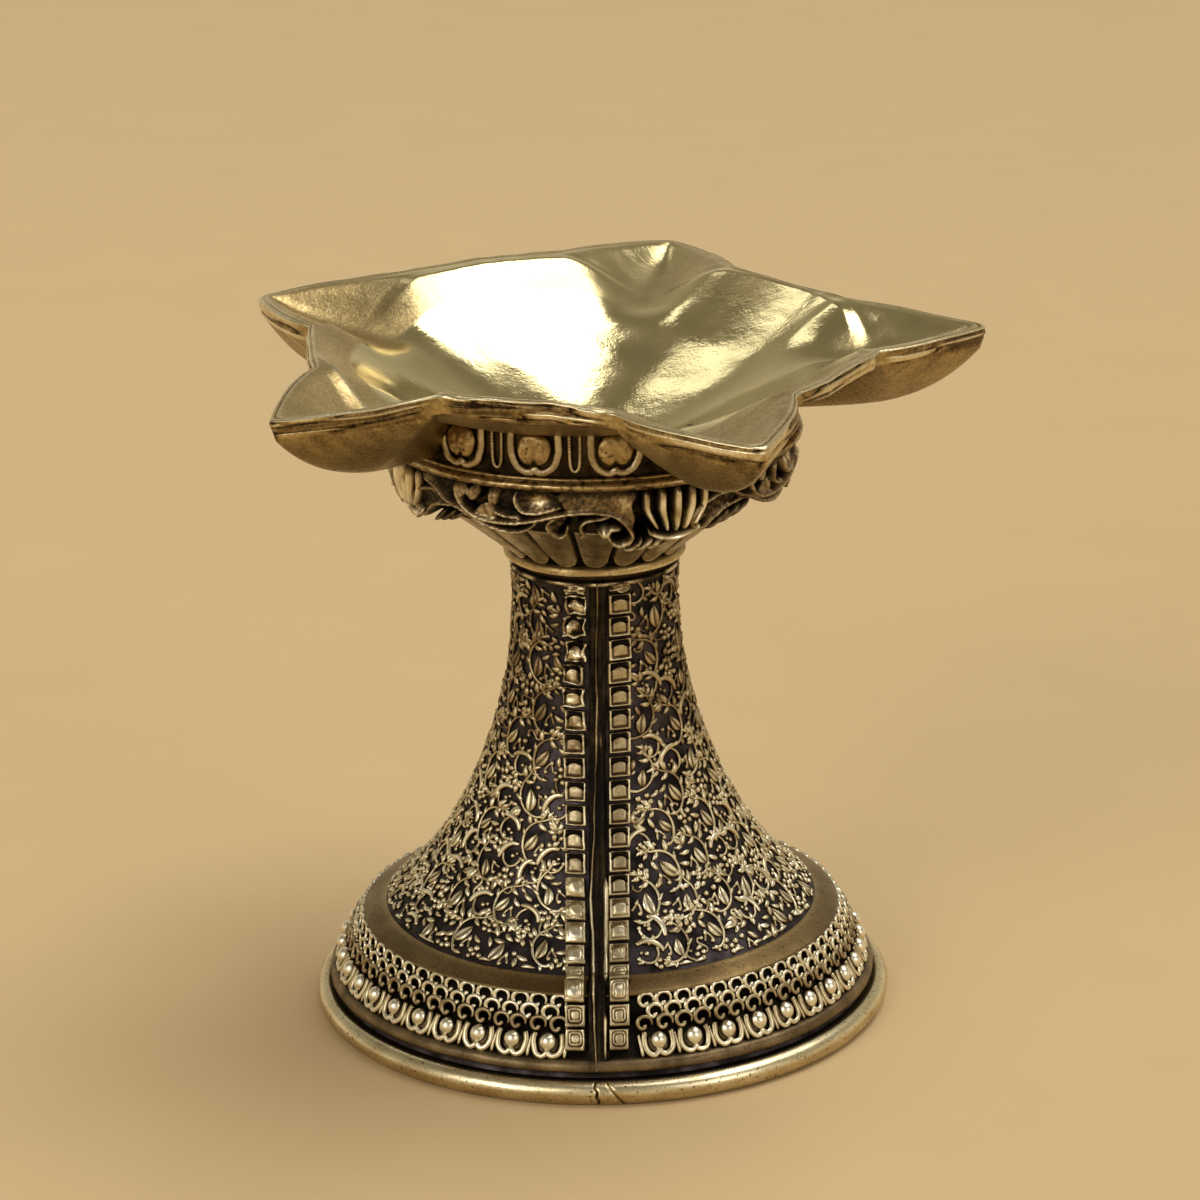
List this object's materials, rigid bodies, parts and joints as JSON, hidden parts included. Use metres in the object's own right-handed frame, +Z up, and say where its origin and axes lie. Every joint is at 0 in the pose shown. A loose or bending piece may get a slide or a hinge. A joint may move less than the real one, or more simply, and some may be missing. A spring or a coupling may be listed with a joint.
{
  "type": "oil lamp",
  "caption": "Cast-brass oil lamp: a star-shaped bowl with a wick spout at each point, on a carved fluted cup that screws onto a flared hollow pedestal.",
  "frame": {"origin": "centre of the foot ring, on the table", "axes": "+Z up along the lamp's axis; -Y towards the pattern's seam, which faces the viewer; +X to the viewer's right"},
  "size_m": [0.1032, 0.1056, 0.099],
  "materials": {
    "buffed_brass": "polished",
    "satin_brass": "satin",
    "antique_brass": "antiqued"
  },
  "bodies": {
    "pedestal": {"foot_ring": "satin_brass", "pedestal_shell": "antique_brass", "base_moulding": "satin_brass", "scale_strip": "antique_brass", "petal_strip": "antique_brass", "petal_beads": "satin_brass", "seam_ridge": "antique_brass", "seam_beads_left": "satin_brass", "seam_beads_right": "satin_brass", "neck_bush": "satin_brass"},
    "collar": {"neck_collar": "buffed_brass"},
    "lamp_head": {"head_stud": "satin_brass", "fluted_cup": "antique_brass", "frieze_ring": "antique_brass", "acanthus_scrolls": "satin_brass", "shell_mounts": "satin_brass", "cup_moulding": "satin_brass", "egg_band": "antique_brass", "egg_frames": "satin_brass", "eggs": "satin_brass", "darts": "satin_brass", "star_bowl": "buffed_brass"}
  },
  "joints": [
    {"name": "head_rise", "type": "slide", "parent": "pedestal", "child": "collar", "axis": [0, 0, 1], "range_m": [0, 0.0075]},
    {"name": "head_turn", "type": "hinge", "parent": "collar", "child": "lamp_head", "pos_m": [0, 0, 0.0662], "axis": [0, 0, 1], "range_deg": [0, 1350]}
  ],
  "couplings": [
    {"joint": "head_rise", "follows": "head_turn", "m_per_rad": 0.0003183}
  ]
}
